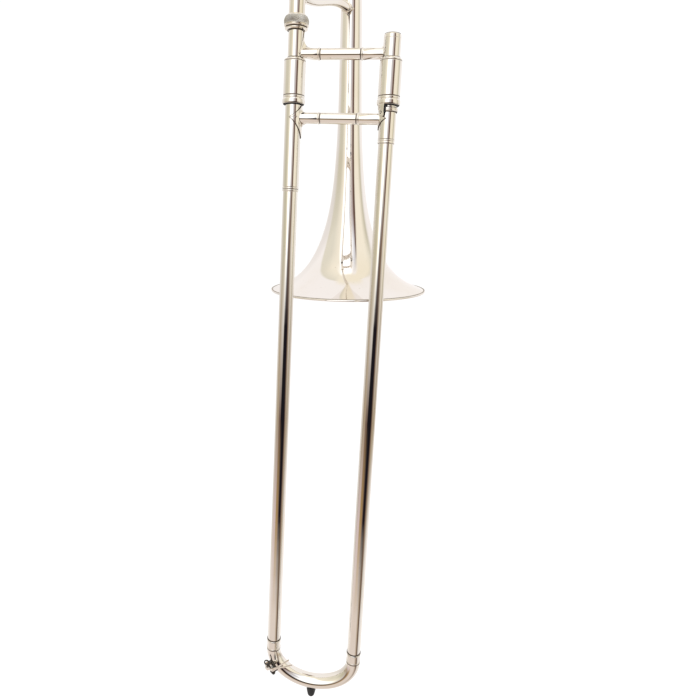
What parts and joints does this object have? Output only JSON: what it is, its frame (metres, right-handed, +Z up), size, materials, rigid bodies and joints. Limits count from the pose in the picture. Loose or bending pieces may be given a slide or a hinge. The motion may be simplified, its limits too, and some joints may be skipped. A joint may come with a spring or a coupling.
{
  "type": "trombone",
  "caption": "Nickel-plated tenor slide trombone, bell down, with hand slide, tuning slide, bell lock nut, slide lock and water key.",
  "frame": {"origin": "middle of the bell's mouth, in the plane of its rim, where a stand's peg enters the bell", "axes": "+Z up along the two slide tubes, away from the slide's bow; +X from the bell side slide tube to the mouthpiece side one; +Y from the slide towards the bell"},
  "size_m": [0.2027, 0.2781, 1.1664],
  "materials": {
    "nickel_plate": "polished nickel plate on brass",
    "bell_nickel": "polished nickel plate on sheet brass",
    "knurled_nickel": "knurled nickel plate, dulled by handling",
    "slide_chrome": "hard chrome, polished",
    "spring_steel": "dark blued steel",
    "cork": "fine-grained cork",
    "tip_rubber": "matt black moulded rubber"
  },
  "bodies": {
    "bell_section": {"bell_flare": "bell_nickel", "bell_stem": "bell_nickel", "bell_rim_bead": "bell_nickel", "bell_ferrule": "nickel_plate", "bell_receiver": "nickel_plate", "neckpipe": "nickel_plate", "neck_ferrule": "nickel_plate", "tuning_outer_leg_bell": "nickel_plate", "tuning_outer_leg_neck": "nickel_plate", "upper_brace": "nickel_plate", "bell_brace_bar": "nickel_plate", "bell_brace_stem_flange": "nickel_plate", "bell_brace_neck_flange": "nickel_plate"},
    "tuning_slide": {"tuning_inner_leg_bell": "nickel_plate", "tuning_inner_leg_neck": "nickel_plate", "crook_ferrule_bell": "nickel_plate", "crook_ferrule_neck": "nickel_plate", "tuning_crook": "nickel_plate", "tuning_brace": "nickel_plate"},
    "lock_nut": {"bell_lock_nut": "knurled_nickel"},
    "inner_slide": {"inner_tube_bell_side": "slide_chrome", "inner_tube_mouthpiece_side": "slide_chrome", "stocking_bell_side": "slide_chrome", "stocking_mouthpiece_side": "slide_chrome", "cork_barrel_bell_side": "nickel_plate", "cork_barrel_mouthpiece_side": "nickel_plate", "barrel_cap_bell_side": "nickel_plate", "barrel_cap_mouthpiece_side": "nickel_plate", "slide_cork_bell_side": "cork", "slide_cork_mouthpiece_side": "cork", "leadpipe": "nickel_plate", "barrel_collar": "nickel_plate", "slide_tenon": "nickel_plate", "mouthpiece_receiver": "nickel_plate", "inner_brace_socket_bell_side": "nickel_plate", "inner_brace_socket_mouthpiece_side": "nickel_plate", "inner_brace_bar": "nickel_plate"},
    "lock_ring": {"slide_lock_ring": "nickel_plate"},
    "hand_slide": {"outer_tube_bell_side": "nickel_plate", "outer_tube_mouthpiece_side": "nickel_plate", "oversleeve_bell_side": "nickel_plate", "oversleeve_mouthpiece_side": "nickel_plate", "sleeve_ring_mouthpiece_side": "nickel_plate", "bow_ferrule_bell_side": "nickel_plate", "bow_ferrule_mouthpiece_side": "nickel_plate", "outer_brace_socket_bell_side": "nickel_plate", "outer_brace_socket_mouthpiece_side": "nickel_plate", "outer_brace_bar": "nickel_plate", "slide_lock_stud": "nickel_plate", "slide_bow": "nickel_plate", "bumper_stud": "nickel_plate", "rubber_tip": "tip_rubber", "water_key_nipple": "nickel_plate", "water_key_saddle": "nickel_plate", "water_key_screw": "spring_steel", "water_key_spring": "spring_steel"},
    "water_key": {"water_key_lever": "nickel_plate", "water_key_cork": "cork"}
  },
  "joints": [
    {"name": "slide_swivel", "type": "hinge", "parent": "bell_section", "child": "inner_slide", "pos_m": [-0.048, -0.161, 0.286], "axis": [0, 0, 1], "range_deg": [-60, 30]},
    {"name": "bell_lock", "type": "hinge", "parent": "inner_slide", "child": "lock_nut", "pos_m": [-0.048, -0.161, 0.286], "axis": [0, 0, 1], "range_deg": [-540, 0]},
    {"name": "slide_travel", "type": "slide", "parent": "inner_slide", "child": "hand_slide", "axis": [0, 0, -1], "range_m": [0, 0.57]},
    {"name": "lock_turn", "type": "hinge", "parent": "inner_slide", "child": "lock_ring", "pos_m": [0.048, -0.161, 0.212], "axis": [0, 0, 1], "range_deg": [0, 30]},
    {"name": "tuning_travel", "type": "slide", "parent": "bell_section", "child": "tuning_slide", "axis": [-0.04, 0, 0.9992], "range_m": [0, 0.06]},
    {"name": "water_key_lift", "type": "hinge", "parent": "hand_slide", "child": "water_key", "pos_m": [-0.04856, -0.17069, -0.43908], "axis": [-0.5783, 0, 0.8158], "range_deg": [0, 12], "stiffness_Nm_per_rad": 0.08, "springref_deg": -22.92}
  ]
}
